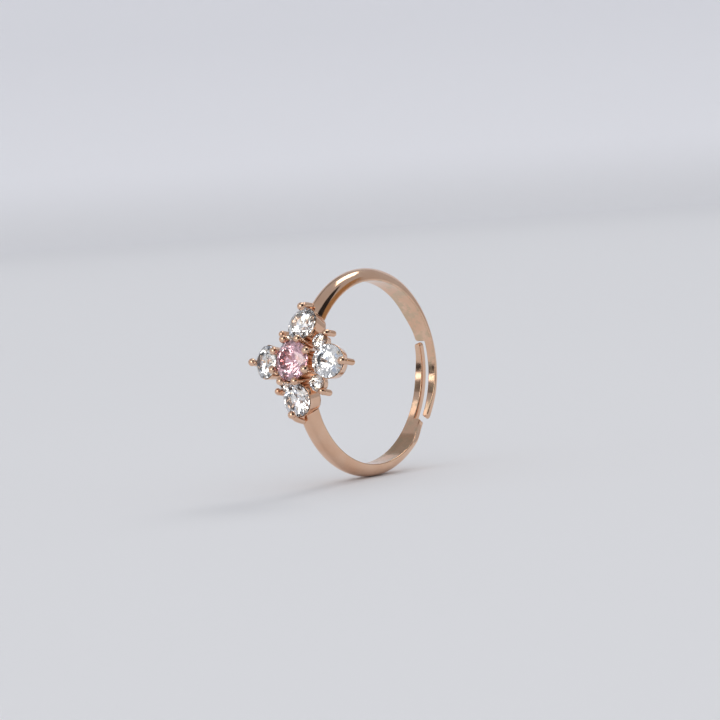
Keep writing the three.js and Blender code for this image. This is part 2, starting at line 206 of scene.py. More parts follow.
class Term:
    """A shader socket that can be used in plain sums. Each sum adds the Math node for it."""

    def __init__(self, tree, socket=None):
        self.tree = tree
        self.socket = socket

    def add(self, kind, choices=None, inputs=None, output=0):
        """Adds a node of a type, makes its choices first, then sets or links its inputs."""
        node = self.tree.nodes.new(kind)
        for key, value in (choices or {}).items():
            if key == "stops":
                ramp = node.color_ramp.elements
                while len(ramp) < len(value):
                    ramp.new(1)
                for stop, (place, shade) in zip(ramp, value):
                    stop.position = place
                    stop.color = shade
            else:
                setattr(node, key, value)
        for key, value in (inputs or {}).items():
            if isinstance(value, Term):
                self.tree.links.new(value.socket, node.inputs[key])
            else:
                node.inputs[key].default_value = value
        return Term(self.tree, node.outputs[output] if len(node.outputs) else None)

    def sum(self, operation, *values):
        return self.add("ShaderNodeMath", {"operation": operation}, dict(enumerate(values)))

    def __add__(self, other):
        return self.sum("ADD", self, other)

    def __radd__(self, other):
        return self.sum("ADD", other, self)

    def __sub__(self, other):
        return self.sum("SUBTRACT", self, other)

    def __rsub__(self, other):
        return self.sum("SUBTRACT", other, self)

    def __mul__(self, other):
        return self.sum("MULTIPLY", self, other)

    def __rmul__(self, other):
        return self.sum("MULTIPLY", other, self)

    def above(self, low, high):
        """0 up to low, 1 from high, and a smooth rise between."""
        return self.add(
            "ShaderNodeMapRange",
            {"interpolation_type": "SMOOTHSTEP"},
            {"Value": self, "From Min": low, "From Max": high},
        )

    def mixed(self, first, second):
        """The first colour where this is 0 and the second where it is 1."""
        inputs = {MIX_FACTOR: self, MIX_FIRST: first, MIX_SECOND: second}
        return self.add("ShaderNodeMix", {"data_type": "RGBA"}, inputs, output=MIX_RESULT)


def rgba(values):
    """A colour with full alpha."""
    return (*values, 1.0)


def new_material(name):
    """An empty material and a term to start its sums from."""
    material = bpy.data.materials.new(name)
    material.use_nodes = True
    material.node_tree.nodes.clear()
    start = Term(material.node_tree)
    return material, start, start.add("ShaderNodeTexCoord", output="Object")


def noise(place, features, detail=2.0, roughness=0.5, stretch=None):
    """Smooth noise whose features are about a length across, from 0 to 1."""
    if stretch is not None:
        place = place.add("ShaderNodeMapping", {}, {"Vector": place, "Scale": stretch})
    return place.add(
        "ShaderNodeTexNoise",
        {"noise_dimensions": "3D"},
        {"Vector": place, "Scale": 1 / features, "Detail": detail, "Roughness": roughness},
    )


def finish_material(start, shader_inputs):
    """Adds the shader with its inputs and links it to the material's output."""
    shader = start.add("ShaderNodeBsdfPrincipled", {}, shader_inputs)
    start.add("ShaderNodeOutputMaterial", {}, {"Surface": shader})


# The plate's unevenness in metres, and the shares of it that swells, specks, rubbing marks and
# the inside's blotches take up.
PLATE_DEPTH = 0.000012
SWELL_HEIGHT, SPECK_HEIGHT, RUB_HEIGHT, BLOTCH_HEIGHT = 0.8, 0.12, 0.02, 0.3

# The size in metres of a stone's painted fire, patches of colour that stand in for flashes of
# dispersed light, and the colours: most are white.
PAINTED_FIRE_PATCH = 0.00042
PAINTED_FIRE_STOPS = [
    (0.0, (0.45, 0.62, 1.0, 1)),
    (0.16, (0.98, 0.99, 1.0, 1)),
    (0.5, (1, 1, 1, 1)),
    (0.84, (1.0, 0.99, 0.96, 1)),
    (1.0, (1.0, 0.70, 0.38, 1)),
]


def gold_material(name, with_inside):
    """Rose gold plate: polished, a little uneven in colour and thickness, with fine rubbing
    marks. Where the piece says it is an inside face, the plate is rougher in blotches, and the
    blotches are painted a greyer gold that stands in for a blurred reflection, a painted
    reflection. The sizes given to noise are in metres."""
    look = settings("ring_finish")
    material, start, place = new_material(name)
    cloud = noise(place, 0.0021, detail=3.0).above(0.35, 0.7)
    speck = noise(place, 0.00032, detail=4.0, roughness=0.6)
    rub = noise(place, 0.00009, detail=3.0, stretch=(0.12, 1.0, 1.0))
    plate = (cloud * 0.75 + speck * 0.25).mixed(rgba(look.gold), rgba(look.gold_pale))
    roughness = look.polish + cloud * 0.04 + speck * 0.05
    swell = noise(place, 0.0016, detail=1.0)
    height = swell * SWELL_HEIGHT + speck * SPECK_HEIGHT + rub * RUB_HEIGHT
    if with_inside:
        inside = start.add("ShaderNodeAttribute", {"attribute_name": "inside"}, output="Fac")
        blotch = noise(place, 0.0011, detail=4.0, roughness=0.65).above(0.46, 0.6)
        # Painted reflection: the inside's blotches are tinted a greyer gold that stands in for a
        # blurred reflection; their extra roughness and bump are the surface's own.
        plate = (inside * blotch * 0.8).mixed(plate, rgba(look.gold_painted_reflection))
        roughness = roughness + inside * (look.satin - look.polish + blotch * 0.08)
        height = height + inside * blotch * BLOTCH_HEIGHT
    bump = start.add(
        "ShaderNodeBump", {}, {"Strength": 0.6, "Distance": PLATE_DEPTH, "Height": height}
    )
    inputs = {"Base Color": plate, "Metallic": 1.0, "Roughness": roughness, "Normal": bump}
    finish_material(start, inputs)
    return material


def stone_material(name, body, painted_fire, milk):
    """A cut stone: a clear body tinted with small patches of spectral colour, painted flashes of
    dispersed light as strong as the painted fire, a share of milkiness and a trace of finger
    grease."""
    look = settings("ring_finish")
    material, start, place = new_material(name)
    # Painted fire: the body's tint breaks into patches of blue and orange that stand in for
    # flashes of dispersed light.
    facets = start.add(
        "ShaderNodeTexVoronoi",
        {"voronoi_dimensions": "3D", "feature": "F1"},
        {"Vector": place, "Scale": 1 / PAINTED_FIRE_PATCH},
        output="Color",
    )
    hue = facets.add("ShaderNodeSeparateColor", {}, {"Color": facets})
    spread = hue.add("ShaderNodeValToRGB", {"stops": PAINTED_FIRE_STOPS}, {"Fac": hue})
    tint = spread.add(
        "ShaderNodeMix",
        {"data_type": "RGBA", "blend_type": "MULTIPLY"},
        {MIX_FACTOR: painted_fire, MIX_FIRST: rgba(body), MIX_SECOND: spread},
        output=MIX_RESULT,
    )
    grease = noise(place, 0.0007, detail=3.0).above(0.45, 0.8)
    finish_material(
        start,
        {
            "Base Color": tint,
            "Roughness": grease * 0.015,
            "IOR": look.stone_index,
            "Transmission Weight": 1.0 - milk,
        },
    )
    return material


# ---- surfaces


def smoothstep(low, high, value):
    """0 up to low, 1 from high, and 3t squared less 2t cubed between."""
    t = np.clip((value - low) / (high - low), 0, 1)
    return t * t * (3 - 2 * t)


def standing(points, pitch):
    """Points in the flower's own frame, x along the finger, y up across the flower and z out of
    its face, turned about the finger so that the flower faces -Y and looks up by the pitch."""
    turn = math.pi / 2 - pitch
    x, y, z = points[..., 0], points[..., 1], points[..., 2]
    new_y = y * math.cos(turn) - z * math.sin(turn)
    new_z = y * math.sin(turn) + z * math.cos(turn)
    return np.stack([x, new_y, new_z], -1)


def half_turned(points):
    """Points turned half round about the flower's axis."""
    return points * np.array([-1.0, -1.0, 1.0])


def grid_quads(rows, columns, close_rows, close_columns):
    """The quads of a grid of points counted row by row, joined end to start where it closes."""
    i = np.arange(rows if close_rows else rows - 1)
    j = np.arange(columns if close_columns else columns - 1)
    i, j = np.meshgrid(i, j, indexing="ij")
    next_i, next_j = (i + 1) % rows, (j + 1) % columns
    row, next_row = i * columns, next_i * columns
    corners = [row + j, next_row + j, next_row + next_j, row + next_j]
    return np.stack(corners, -1).reshape(-1, 4)


def without_doubles(points, quads):
    """The same surface with points that agree to a hundredth of a micrometre made one. Each quad
    is cut into two triangles, and those that collapsed are left out. Also returns which points
    were kept."""
    keys = np.round(points * 1e8).astype(np.int64)
    _, first, inverse = np.unique(keys, axis=0, return_index=True, return_inverse=True)
    quads = inverse.reshape(-1)[quads]
    triangles = np.concatenate([quads[:, [0, 1, 2]], quads[:, [0, 2, 3]]])
    a, b, c = triangles.T
    triangles = triangles[(a != b) & (b != c) & (a != c)]
    return points[first], triangles, first


def new_piece(name, points, quads, material, inside=None):
    """A closed smooth mesh object at the origin. Its faces are turned round if the volume inside,
    a sixth of the sum of the corners' triple products, comes out negative."""
    points, triangles, kept = without_doubles(points.reshape(-1, 3), quads)
    a, b, c = (points[triangles[:, k]] for k in range(3))
    if np.einsum("ij,ij->i", a, np.cross(b, c)).sum() < 0:
        triangles = triangles[:, ::-1]
    mesh = bpy.data.meshes.new(name)
    mesh.vertices.add(len(points))
    mesh.vertices.foreach_set("co", points.astype(np.float32).ravel())
    mesh.loops.add(3 * len(triangles))
    mesh.loops.foreach_set("vertex_index", triangles.astype(np.int32).ravel())
    mesh.polygons.add(len(triangles))
    mesh.polygons.foreach_set("loop_start", np.arange(0, 3 * len(triangles), 3, dtype=np.int32))
    mesh.update(calc_edges=True)
    mesh.validate()
    mesh.shade_smooth()
    if inside is not None:
        layer = mesh.attributes.new("inside", "FLOAT", "POINT")
        layer.data.foreach_set("value", inside.reshape(-1)[kept].astype(np.float32))
    mesh.materials.append(material)
    piece = bpy.data.objects.new(name, mesh)
    bpy.context.scene.collection.objects.link(piece)
    return piece


def halved(low, high, rounds, outside):
    """The values at which a test turns true between low and high, closed in on by halving."""
    for _ in range(rounds):
        guess = (low + high) / 2
        out = outside(guess)
        low, high = np.where(out, low, guess), np.where(out, guess, high)
    return high


# ---- the band

# How many points each stretch of an arm's edge has.
LONG, DRAWN_IN, CORNER, ACROSS_NOTCH, CROOK, TONGUE, TIP, TIP_END = 260, 36, 14, 16, 8, 90, 16, 6

# The inner corner of a notch, as a share of the width of the notch's floor.
CROOK_SHARE = 0.12

# The step in metres between points of the outline that an edge's rounding is measured from, and
# how many points are measured at a time.
OUTLINE_STEP = 0.00002
SLAB = 4000

# An arm's bend, in radians before and past the shoulder, and a stretch along it, in metres from
# the shoulder, whose two ends the band's operator works out but does not use.
BEND_BEFORE, BEND_PAST = 0.06, 0.08
BLEND_BEFORE, BLEND_PAST = -0.0007, 0.0012


def joined(*pieces):
    """Runs of points one after another, without the repeated point where two meet."""
    return np.concatenate([pieces[0]] + [p[1:] for p in pieces[1:]])


def line(start, end, count):
    """A straight run of points."""
    t = np.linspace(0, 1, count)[:, None]
    return np.array(start) * (1 - t) + np.array(end) * t


def arc(middle, radius, start, end, count):
    """A run of points round a middle between two angles in degrees."""
    t = np.radians(np.linspace(start, end, count))
    return np.array(middle) + radius * np.stack([np.cos(t), np.sin(t)], -1)


def half_width(band, theta):
    """Half the band's width at an angle from the flower's axis. The width goes from the front's
    to the back's as half of 1 less the cosine."""
    return (band.front_width + (band.back_width - band.front_width) * (1 - np.cos(theta)) / 2) / 2


def outer_radius(band):
    """The radius of the band's crown at the front."""
    return band.finger / 2 + band.front_thickness


def arm_edges(band, draw, root_angle):
    """The two edges of an arm laid out flat, x across and y along, from its root to its tip, in
    pairs of points that are joined across the arm. y is the distance from the middle of the back,
    measured round the inside of the band's thickness. One edge runs to the notch, across it and
    on down the tongue's inner side; the other runs straight down to the tip."""
    middle = band.finger / 2 + band.back_thickness / 2
    laid = lambda y: middle * math.asin(y / middle)
    side = band.back_width / 2
    slot = band.slot / 2
    closed = max(0.0, -(band.upper_set + band.lower_set))
    travel = closed * outer_radius(band) * (1 + math.cos(band.shoulder))
    notch = laid(band.reach + band.tip_gap + travel)
    end = -laid(band.reach)
    tip_side = side - band.tip_draw
    tip = min(band.tip_round, (tip_side - slot) / 2)
    corner = min(band.notch_round, (side - draw) / 2)
    crook = min(CROOK_SHARE * (side + slot) / 2, corner)
    root = middle * (math.pi - root_angle)
    drawn = notch + corner + band.draw_length
    narrowed = end + tip + band.draw_length
    below = notch - crook
    half = lambda y: half_width(band, math.pi - y / middle)
    y_long = np.linspace(root, drawn, LONG)
    y_draw = np.linspace(drawn, notch + corner, DRAWN_IN)
    pull = 1 - smoothstep(notch + corner, drawn, y_draw)
    left = joined(
        np.stack([-half(y_long), y_long], -1),
        np.stack([-half(y_draw) * (1 - pull) + (draw - side) * pull, y_draw], -1),
        arc((draw - side + corner, notch + corner), corner, 180, 270, CORNER),
        line((draw - side + corner, notch), (slot - crook, notch), ACROSS_NOTCH),
        arc((slot - crook, notch - crook), crook, 90, 0, CROOK),
    )
    y_turn = np.linspace(notch + corner, below, CORNER + ACROSS_NOTCH + CROOK - 2)
    y_tongue = np.linspace(below, end + tip, TONGUE)
    shrink = lambda y: 1 - smoothstep(end + tip, narrowed, y)
    right_x = lambda y: half(y) * (1 - shrink(y)) + tip_side * shrink(y)
    right = joined(
        np.stack([half(y_long), y_long], -1),
        np.stack([half(y_draw), y_draw], -1),
        np.stack([right_x(y_turn), y_turn], -1),
        np.stack([right_x(y_tongue), y_tongue], -1),
        arc((tip_side - tip, end + tip), tip, 0, -90, TIP),
        line((tip_side - tip, end), ((tip_side + slot) / 2, end), TIP_END),
    )
    left = joined(
        left,
        np.stack([np.full(TONGUE, slot), y_tongue], -1),
        arc((slot + tip, end + tip), tip, 180, 270, TIP),
        line((slot + tip, end), ((tip_side + slot) / 2, end), TIP_END),
    )
    return left, right, middle


def nearest(points, outline):
    """The distance from each point to an outline, worked out in slabs. The closest of the
    outline's points is found first, then the distance to the two straight pieces that meet in
    it."""
    flat = points.reshape(-1, 2)
    found = np.empty(len(flat))
    for start in range(0, len(flat), SLAB):
        slab = flat[start : start + SLAB]
        gap = slab[:, None, :] - outline[None, :, :]
        close = (gap**2).sum(-1).argmin(1)
        least = np.full(len(slab), np.inf)
        for piece in (np.maximum(close - 1, 0), np.minimum(close, len(outline) - 2)):
            away, along = slab - outline[piece], outline[piece + 1] - outline[piece]
            foot = (away * along).sum(-1) / np.maximum((along**2).sum(-1), 1e-20)
            away = away - np.clip(foot, 0, 1)[:, None] * along
            least = np.minimum(least, np.linalg.norm(away, axis=1))
        found[start : start + SLAB] = least
    return found.reshape(points.shape[:-1])


def resampled(outline, step):
    """The same outline with points no further apart than a step."""
    gaps = np.linalg.norm(np.diff(outline, axis=0), axis=1)
    along = np.concatenate([[0], np.cumsum(gaps)])
    at = np.linspace(0, along[-1], int(along[-1] / step) + 2)
    return np.stack([np.interp(at, along, outline[:, k]) for k in range(2)], -1)


def cup_angle(seat, x, radius):
    """The angle from the flower's axis at which the band, at a distance x from its middle and a
    radius from the finger's axis, comes out of the cup's tapered wall: where the distance from
    the cup's axis is the wall's own radius."""
    head = settings("ring_head")

    def past_wall(guess):
        y, z = radius * np.sin(guess) - seat.offset, radius * np.cos(guess) - seat.height
        a = y * math.cos(seat.lean) - z * math.sin(seat.lean)
        c = y * math.sin(seat.lean) + z * math.cos(seat.lean)
        wall = seat.rim + head.solder_gap + (c - seat.top) * math.tan(seat.taper)
        return np.hypot(a, x) > wall

    nearest_angle = math.atan2(seat.offset, seat.height)
    furthest_angle = 0.9
    low, high = np.full(x.shape, nearest_angle), np.full(x.shape, furthest_angle)
    return halved(low, high, 30, past_wall)


def arm_surface(band, draw, spring, seat, across=22, wall=4):
    """One arm with its shoulder. A point w across between the two edges has the radius of the
    finger opening on its inner face. On its outer face it has that radius, the edge's thickness,
    and the rest of the thickness times the root of 1 less (x / half width) squared. Both faces
    fall away by a quarter circle at the outline. The root starts inside the petal's cup and each
    point of it is moved along the band to the cup's wall. Past the shoulder the arm is turned by
    its spring about the shoulder's outer edge."""
    root_angle = math.atan2(seat.offset, seat.height)
    left, right, middle = arm_edges(band, draw, root_angle)
    w = (1 - np.cos(np.pi * np.arange(across + 1) / across)) / 2
    flat = left[:, None, :] * (1 - w[None, :, None]) + right[:, None, :] * w[None, :, None]
    outline = np.concatenate(
        [resampled(left, OUTLINE_STEP), resampled(right[::-1], OUTLINE_STEP)]
    )
    off = np.clip(nearest(flat, outline), 0, band.rounding)
    fall = band.rounding - np.sqrt(np.clip(band.rounding**2 - (band.rounding - off) ** 2, 0, None))
    x, theta = flat[..., 0], math.pi - flat[..., 1] / middle
    half = half_width(band, theta)
    round_angle = np.arccos(np.clip(np.cos(theta), -1, 1))
    thin = smoothstep(band.thinning_start, band.thinning_end, round_angle)
    thick = band.front_thickness + (band.back_thickness - band.front_thickness) * thin
    dome = np.sqrt(np.clip(1 - (x / half) ** 2, 0, 1))
    inner = np.full_like(x, band.finger / 2)
    outer = inner + band.edge + (thick - band.edge) * dome
    low, high = inner + fall, outer - fall
    low, high = np.minimum(low, (inner + outer) / 2), np.maximum(high, (inner + outer) / 2)
    rise = np.linspace(0, 1, wall + 1)[1:-1]
    up = low[:, -1:] * (1 - rise) + high[:, -1:] * rise
    down = high[:, :1] * (1 - rise) + low[:, :1] * rise
    radius = np.concatenate([low, up, high[:, ::-1], down], axis=1)
    side_x = lambda k: np.repeat(x[:, [k]], wall - 1, axis=1)
    side_t = lambda k: np.repeat(theta[:, [k]], wall - 1, axis=1)
    xs = np.concatenate([x, side_x(-1), x[:, ::-1], side_x(0)], axis=1)
    turn = np.concatenate([theta, side_t(-1), theta[:, ::-1], side_t(0)], axis=1)
    start = cup_angle(seat, xs, radius)
    behind = np.clip((band.shoulder - turn) / (band.shoulder - root_angle), 0, 1)
    turn = np.where(turn < band.shoulder, band.shoulder - behind * (band.shoulder - start), turn)
    y, z = radius * np.sin(turn), radius * np.cos(turn)
    outside = outer_radius(band)
    hinge_y, hinge_z = outside * math.sin(band.shoulder), outside * math.cos(band.shoulder)
    bent = spring * smoothstep(band.shoulder - BEND_BEFORE, band.shoulder + BEND_PAST, turn)
    dy, dz = y - hinge_y, z - hinge_z
    y = hinge_y + dy * np.cos(bent) - dz * np.sin(bent)
    z = hinge_z + dy * np.sin(bent) + dz * np.cos(bent)
    points = np.stack([xs, y, z], -1)
    inside = np.zeros(xs.shape)
    inside[:, : across + 1] = 1
    rows, columns = xs.shape
    root_middle = points[:1].mean(axis=1, keepdims=True)
    points = np.concatenate([np.repeat(root_middle, columns, axis=1), points], axis=0)
    inside = np.concatenate([inside[:1], inside], axis=0)
    quads = grid_quads(rows + 1, columns, False, True)
    end = np.arange(columns) + rows * columns
    low_row = end[: across + 1]
    high_row = end[across + wall : 2 * across + wall + 1][::-1]
    close = np.stack([low_row[:-1], high_row[:-1], high_row[1:], low_row[1:]], -1)
    return points, np.concatenate([quads, close]), inside


class RING_OT_band(bpy.types.Operator):
    """Make the two arms of the band, each in one piece with its shoulder"""

    bl_idname = "ring.band"
    bl_label = "Band"

    def execute(self, context):
        band, pitch = settings("ring_band"), settings("ring_head").pitch
        gold = gold_material("band rose gold", True)
        held = seats()["upper_petal"]
        outward = np.array([0, math.sin(band.shoulder), math.cos(band.shoulder)])
        hinge = outer_radius(band) * outward
        tangent = np.array([0, math.cos(band.shoulder), -math.sin(band.shoulder)])
        arms = {
            "upper": (band.upper_draw, band.upper_set, lambda points: points),
            "lower": (band.lower_draw, band.lower_set, half_turned),
        }
        for side, (draw, spring, placed) in arms.items():
            points, quads, inside = arm_surface(band, draw, spring, held)
            points = standing(placed(points), pitch)
            piece = new_piece(f"{side}_arm", points, quads, gold, inside)
            ends = [
                standing(placed(hinge + tangent * along), pitch)
                for along in (BLEND_BEFORE, BLEND_PAST)
            ]
            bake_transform(piece)
            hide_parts(f"{side}_shoulder", f"{side}_arm_band")
        return {"FINISHED"}


# ---- cups

# Half the girdle, the pavilion's depth and the bore's radius, as shares of a stone's diameter.
GIRDLE_SHARE, PAVILION_SHARE, BORE_SHARE = 0.015, 0.43, 0.2

# The rounding of a rim's corners in metres, and its most as a share of the rim's width.
RIM_ROUNDING, ROUNDING_SHARE = 0.00004, 0.4


class Seat:
    """Where a stone sits: its diameter, cup rim and taper, its place out along a spoke of the
    flower and its outward lean."""

    def __init__(self, diameter, rim, taper, offset, lift, lean, turn):
        head = settings("ring_head")
        self.diameter, self.rim, self.taper = diameter, rim, taper
        self.lift, self.lean = lift, lean
        self.turn = math.radians(turn)
        self.offset, self.height = offset, head.back + lift
        self.mouth = min(diameter / 2 + head.seat_gap, rim - head.rim)
        self.top = self.inside(self.mouth)

    def inside(self, distance):
        """The height of the cup's inside at a distance from its axis: a cone that lies the seat
        gap under the pavilion."""
        deep = 1 - 2 * (distance - settings("ring_head").seat_gap) / self.diameter
        return -GIRDLE_SHARE * self.diameter - PAVILION_SHARE * self.diameter * deep

    def placed(self, points):
        """Points in the stone's own frame, leaned outwards, moved out along the spoke and turned
        about the flower's axis with it."""
        a, b, c = points[..., 0], points[..., 1], points[..., 2]
        out = self.offset + a * math.cos(self.lean) + c * math.sin(self.lean)
        x = out * math.cos(self.turn) - b * math.sin(self.turn)
        y = out * math.sin(self.turn) + b * math.cos(self.turn)
        z = self.height - a * math.sin(self.lean) + c * math.cos(self.lean)
        return np.stack([x, y, z], -1)


def seats():
    """Every stone's seat by the stone's name."""
    head = settings("ring_head")
    centre_rim = head.centre / 2 - head.inset
    made = {
        "centre": Seat(
            head.centre, centre_rim, head.centre_taper, 0.0, head.centre_lift, 0.0, turn=0
        )
    }
    rim = head.petal / 2 + head.petal_wall
    for side, turn in PETAL_TURNS.items():
        place = (head.side_offset, head.side_lift)
        if side in ("upper", "lower"):
            place = (head.shoulder_offset, head.shoulder_lift)
        petal = Seat(head.petal, rim, head.petal_taper, *place, head.petal_lean, turn)
        made[f"{side}_petal"] = petal
    rim = head.accent / 2 + head.accent_wall
    place = (head.accent_offset, head.accent_lift)
    for side, turn in ACCENT_TURNS.items():
        accent = Seat(head.accent, rim, head.accent_taper, *place, head.accent_lean, turn)
        made[f"{side}_accent"] = accent
    return made


def finger_depth(seat, u, radius_at):
    """The height on a cup's wall, at turns u about its axis, where the wall meets the circle of
    the cups' backs round the finger's axis."""
    head = settings("ring_head")

    def past_back(guess):
        radius = radius_at(guess)
        wall = np.stack([radius * np.cos(u), radius * np.sin(u), guess], -1)
        placed = seat.placed(wall)
        return np.hypot(placed[..., 1], placed[..., 2]) > head.back

    low, high = np.full(u.shape, -seat.height * 0.5), np.full(u.shape, seat.top)
    return halved(low, high, 34, past_back)


def cup_surface(seat, around=96, rows=10):
    """A tapered cup turned about its stone's axis. Round the axis the outer wall's radius is the
    rim less the depth below it times the tangent of the taper, down to the circle of the cups'
    backs round the finger. The inside follows the stone's pavilion, then a straight bore. The
    rim's two corners are quarter circles."""
    head = settings("ring_head")
    mouth, top = seat.mouth, seat.top
    bore = BORE_SHARE * seat.diameter
    u = 2 * np.pi * np.arange(around) / around
    slope = math.tan(seat.taper)
    foot = finger_depth(seat, u, lambda height: seat.rim + (height - top) * slope)
    bore_foot = finger_depth(seat, u, lambda height: bore + height * 0)
    soft = min(RIM_ROUNDING, head.rim * ROUNDING_SHARE)
    bend = np.radians(np.linspace(0, 90, 5))
    ones = np.ones(around)
    profile = []
    for t in np.linspace(0, 1, rows):
        height = foot * (1 - t) + (top - soft) * t
        profile.append((seat.rim + (height - top) * slope, height))
    for a in bend[1:]:
        out, drop = soft * (1 - np.cos(a)), soft * (1 - np.sin(a))
        profile.append((ones * (seat.rim - out), ones * (top - drop)))
    for a in bend:
        out, drop = soft * (1 - np.sin(a)), soft * (1 - np.cos(a))
        profile.append((ones * (mouth + out), ones * (top - drop)))
    for t in np.linspace(0, 1, rows)[1:]:
        radius = (mouth - soft) * (1 - t) + bore * t
        profile.append((ones * radius, ones * seat.inside(radius)))
    start = np.minimum(seat.inside(bore), top)
    for t in np.linspace(0, 1, 4)[1:]:
        profile.append((ones * bore, start * (1 - t) + np.minimum(bore_foot, start) * t))
    radii = np.array([radius for radius, _ in profile])
    heights = np.array([height for _, height in profile])
    local = np.stack([radii * np.cos(u), radii * np.sin(u), heights], -1)
    return local, grid_quads(len(profile), around, True, True)


class RING_OT_cups(bpy.types.Operator):
    """Make the tapered cup under each stone"""

    bl_idname = "ring.cups"
    bl_label = "Cups"

    def execute(self, context):
        gold = gold_material("cup rose gold", False)
        for name, seat in seats().items():
            local, quads = cup_surface(seat)
            head_piece(f"{name}_bezel", seat, local, quads, gold, f"{name}_cup")
        return {"FINISHED"}


def head_piece(name, seat, local, quads, material, node):
    """A gold piece in a seat's own frame, put in its place on the head in the stead of a node."""
    points = standing(seat.placed(local), settings("ring_head").pitch)
    piece = new_piece(name, points, quads, material)
    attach(piece, HEAD)
    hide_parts(node)


# ---- claws and prongs

# ball and shaft are radii in millimetres; grip and neck are angles in degrees above the girdle,
# seen from its edge; flare is how far the foot stands off the cup, and foot is its depth.
CLAW = {"ball": 0.37, "shaft": 0.2, "grip": 55, "neck": 0}
SIDE_PRONG = {"ball": 0.37, "shaft": 0.3, "grip": 83, "neck": 40, "flare": 0.18, "foot": 0.6}
UPPER_PRONG = {"ball": 0.37, "shaft": 0.27, "grip": 100, "neck": 40, "flare": 0.14, "foot": 0.55}
LOWER_PRONG = {"ball": 0.37, "shaft": 0.27, "grip": 113, "neck": 60, "flare": 0.14, "foot": 0.55}
ACCENT_PRONG = {"ball": 0.3, "shaft": 0.3, "grip": 45, "neck": 20, "flare": 0.1, "foot": 0.7}

# A claw's turn in degrees to either side of its petal's spoke.
CLAW_TURN = 24

# The girdle's upper edge above a stone's middle, as a share of its radius, and the grip in
# degrees past which a ball moves further out, to stay clear of the crown.
EDGE_SHARE = 0.03
CROWN_GRIP = 50

# A wire's bend leaves the shank and joins the ball's line at these shares of the way, and its
# shaft swells into the ball over this length in metres.
BEND_START, BEND_END = 0.55, 0.35
SWELL = 0.00008


def wire_path(form, diameter, foot_x, foot):
    """The foot, the neck and the ball's middle of a wire, in the plane y = 0 of its stone. Neck
    and ball lie round the girdle's edge at their angles, each its own radius and the seat gap
    away."""
    head = settings("ring_head")
    ball, shaft = form["ball"] / 1000, form["shaft"] / 1000
    grip, neck = math.radians(form["grip"]), math.radians(form["neck"])
    edge = np.array([diameter / 2, 0.0, EDGE_SHARE * diameter / 2])
    over = math.cos(max(0.0, grip - math.radians(CROWN_GRIP)))
    out = lambda far, turn: edge + far * np.array([math.cos(turn), 0.0, math.sin(turn)])
    bend = out(shaft + head.seat_gap, neck)
    top = out((ball + head.seat_gap) / over, grip)
    return np.array([[foot_x, 0.0, -foot], bend, top])


def wire_surface(form, path, around=28):
    """A round wire with a ball on its end, carried along a path that bends in a parabola at the
    neck. Its radius is the shaft's up to the ball, then the ball's radius times the sine of a
    sweep round its middle, smoothly joined to the shaft's. Both ends are round."""
    ball, shaft = form["ball"] / 1000, form["shaft"] / 1000
    foot, neck, top = path
    t = np.linspace(0, 1, 14)[:, None]
    low = foot + (neck - foot) * BEND_START
    high = neck + (top - neck) * BEND_END
    curve = (1 - t) ** 2 * low + 2 * t * (1 - t) * neck + t**2 * high
    back = (foot - neck) / np.linalg.norm(foot - neck)
    ahead = (top - high) / np.linalg.norm(top - high)
    cap = np.linspace(0, 1, 9)
    heel = foot + back * (shaft * np.cos(cap * np.pi / 2))[:, None]
    heel_radius = shaft * np.sin(cap * np.pi / 2)
    shank = line(foot, low, 8)[1:]
    sweep = np.radians(np.linspace(150, 0, 26))
    bead = top - ahead * (-ball * np.cos(sweep))[:, None]
    bead_gap = ball * np.cos(sweep)
    run = np.concatenate([heel, shank, curve[1:]])
    far = (run - top) @ ahead
    run = run[far < bead_gap.min() - 1e-6]
    radius = np.concatenate([heel_radius, np.full(len(run) - len(heel), shaft)])
    ball_radius = ball * np.sin(sweep)
    swell = np.clip(0.5 + 0.5 * (ball_radius - shaft) / SWELL, 0, 1)
    blended = shaft * (1 - swell) + ball_radius * swell + SWELL * swell * (1 - swell) * 0.5
    ball_radius = np.where(bead_gap < 0, np.maximum(blended, ball_radius), ball_radius)
    run = np.concatenate([run, bead])
    radius = np.concatenate([radius, ball_radius])
    along = np.gradient(run, axis=0)
    along /= np.linalg.norm(along, axis=1, keepdims=True)
    side = np.array([0.0, 1.0, 0.0])
    across = np.cross(side, along)
    across /= np.linalg.norm(across, axis=1, keepdims=True)
    u = (2 * np.pi * np.arange(around) / around)[None, :, None]
    ring = across[:, None, :] * np.cos(u) + side * np.sin(u)
    points = run[:, None, :] + radius[:, None, None] * ring
    return points, grid_quads(len(run), around, False, True)


class RING_OT_claws(bpy.types.Operator):
    """Make the eight ball-tipped claws round the centre stone"""

    bl_idname = "ring.claws"
    bl_label = "Claws"

    def execute(self, context):
        head = settings("ring_head")
        gold = gold_material("claw rose gold", False)
        seat = seats()["centre"]
        shaft = CLAW["shaft"] / 1000
        back_rim = seat.rim - seat.lift * math.tan(seat.taper)
        path = wire_path(CLAW, head.centre, back_rim + shaft + head.seat_gap, seat.lift - shaft)
        local, quads = wire_surface(CLAW, path)
        for side, turn in PETAL_TURNS.items():
            for hand, way in (("first", -1), ("second", 1)):
                seat.turn = math.radians(turn + CLAW_TURN * way)
                name = f"{side}_claw_{hand}"
                head_piece(f"{name}_wire", seat, local, quads, gold, name)
        return {"FINISHED"}


class RING_OT_prongs(bpy.types.Operator):
    """Make the ball-tipped prong at the outer edge of each petal and accent"""

    bl_idname = "ring.prongs"
    bl_label = "Prongs"

    def execute(self, context):
        head = settings("ring_head")
        gold = gold_material("prong rose gold", False)
        forms = {"upper_petal": UPPER_PRONG, "lower_petal": LOWER_PRONG}
        for name, seat in seats().items():
            if name == "centre":
                continue
            form = ACCENT_PRONG if name.endswith("accent") else forms.get(name, SIDE_PRONG)
            foot_x = seat.rim + (form["shaft"] + form["flare"]) / 1000 + head.solder_gap
            path = wire_path(form, seat.diameter, foot_x, form["foot"] / 1000)
            local, quads = wire_surface(form, path)
            head_piece(f"{name}_wire", seat, local, quads, gold, f"{name}_prong")
        return {"FINISHED"}


